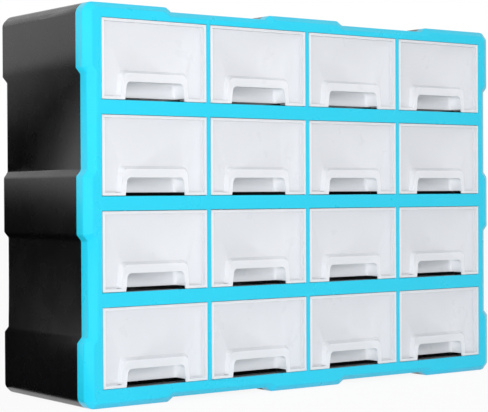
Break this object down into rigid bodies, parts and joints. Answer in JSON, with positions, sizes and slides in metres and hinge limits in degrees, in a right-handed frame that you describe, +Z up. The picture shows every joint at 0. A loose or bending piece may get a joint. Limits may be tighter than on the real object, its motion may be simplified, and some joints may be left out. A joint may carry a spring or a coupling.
{
  "type": "parts bin cabinet",
  "caption": "Low wide cabinet with a stepped black housing, a bevelled cyan front frame and a grid of clear pull-out drawers with arched finger pulls, for sorting small parts.",
  "frame": {"origin": "middle of the footprint, on the surface that the cabinet stands on", "axes": "+X to the right seen from the front, +Y from the front to the back, +Z up"},
  "size_m": [0.52, 0.16, 0.375],
  "materials": {
    "housing_plastic": "black moulded plastic with a fine satin texture",
    "grid_plastic": "plain black moulded plastic",
    "frame_plastic": "bright cyan semi-gloss moulded plastic",
    "drawer_plastic": "translucent milky clear plastic, smooth and slightly frosted"
  },
  "bodies": {
    "cabinet": {"housing": "housing_plastic", "front_frame": "frame_plastic", "collar_grid": "grid_plastic", "lower_shelf": "grid_plastic", "middle_shelf": "grid_plastic", "upper_shelf": "grid_plastic", "left_partition": "grid_plastic", "centre_partition": "grid_plastic", "right_partition": "grid_plastic"},
    "bin_r1c1": {"drawer_r1c1": "drawer_plastic"},
    "bin_r1c2": {"drawer_r1c2": "drawer_plastic"},
    "bin_r1c3": {"drawer_r1c3": "drawer_plastic"},
    "bin_r1c4": {"drawer_r1c4": "drawer_plastic"},
    "bin_r2c1": {"drawer_r2c1": "drawer_plastic"},
    "bin_r2c2": {"drawer_r2c2": "drawer_plastic"},
    "bin_r2c3": {"drawer_r2c3": "drawer_plastic"},
    "bin_r2c4": {"drawer_r2c4": "drawer_plastic"},
    "bin_r3c1": {"drawer_r3c1": "drawer_plastic"},
    "bin_r3c2": {"drawer_r3c2": "drawer_plastic"},
    "bin_r3c3": {"drawer_r3c3": "drawer_plastic"},
    "bin_r3c4": {"drawer_r3c4": "drawer_plastic"},
    "bin_r4c1": {"drawer_r4c1": "drawer_plastic"},
    "bin_r4c2": {"drawer_r4c2": "drawer_plastic"},
    "bin_r4c3": {"drawer_r4c3": "drawer_plastic"},
    "bin_r4c4": {"drawer_r4c4": "drawer_plastic"}
  },
  "joints": [
    {"name": "slide_r1c1", "type": "slide", "parent": "cabinet", "child": "bin_r1c1", "axis": [0, -1, 0], "range_m": [0, 0.125]},
    {"name": "slide_r1c2", "type": "slide", "parent": "cabinet", "child": "bin_r1c2", "axis": [0, -1, 0], "range_m": [0, 0.125]},
    {"name": "slide_r1c3", "type": "slide", "parent": "cabinet", "child": "bin_r1c3", "axis": [0, -1, 0], "range_m": [0, 0.125]},
    {"name": "slide_r1c4", "type": "slide", "parent": "cabinet", "child": "bin_r1c4", "axis": [0, -1, 0], "range_m": [0, 0.125]},
    {"name": "slide_r2c1", "type": "slide", "parent": "cabinet", "child": "bin_r2c1", "axis": [0, -1, 0], "range_m": [0, 0.125]},
    {"name": "slide_r2c2", "type": "slide", "parent": "cabinet", "child": "bin_r2c2", "axis": [0, -1, 0], "range_m": [0, 0.125]},
    {"name": "slide_r2c3", "type": "slide", "parent": "cabinet", "child": "bin_r2c3", "axis": [0, -1, 0], "range_m": [0, 0.125]},
    {"name": "slide_r2c4", "type": "slide", "parent": "cabinet", "child": "bin_r2c4", "axis": [0, -1, 0], "range_m": [0, 0.125]},
    {"name": "slide_r3c1", "type": "slide", "parent": "cabinet", "child": "bin_r3c1", "axis": [0, -1, 0], "range_m": [0, 0.125]},
    {"name": "slide_r3c2", "type": "slide", "parent": "cabinet", "child": "bin_r3c2", "axis": [0, -1, 0], "range_m": [0, 0.125]},
    {"name": "slide_r3c3", "type": "slide", "parent": "cabinet", "child": "bin_r3c3", "axis": [0, -1, 0], "range_m": [0, 0.125]},
    {"name": "slide_r3c4", "type": "slide", "parent": "cabinet", "child": "bin_r3c4", "axis": [0, -1, 0], "range_m": [0, 0.125]},
    {"name": "slide_r4c1", "type": "slide", "parent": "cabinet", "child": "bin_r4c1", "axis": [0, -1, 0], "range_m": [0, 0.125]},
    {"name": "slide_r4c2", "type": "slide", "parent": "cabinet", "child": "bin_r4c2", "axis": [0, -1, 0], "range_m": [0, 0.125]},
    {"name": "slide_r4c3", "type": "slide", "parent": "cabinet", "child": "bin_r4c3", "axis": [0, -1, 0], "range_m": [0, 0.125]},
    {"name": "slide_r4c4", "type": "slide", "parent": "cabinet", "child": "bin_r4c4", "axis": [0, -1, 0], "range_m": [0, 0.125]}
  ]
}
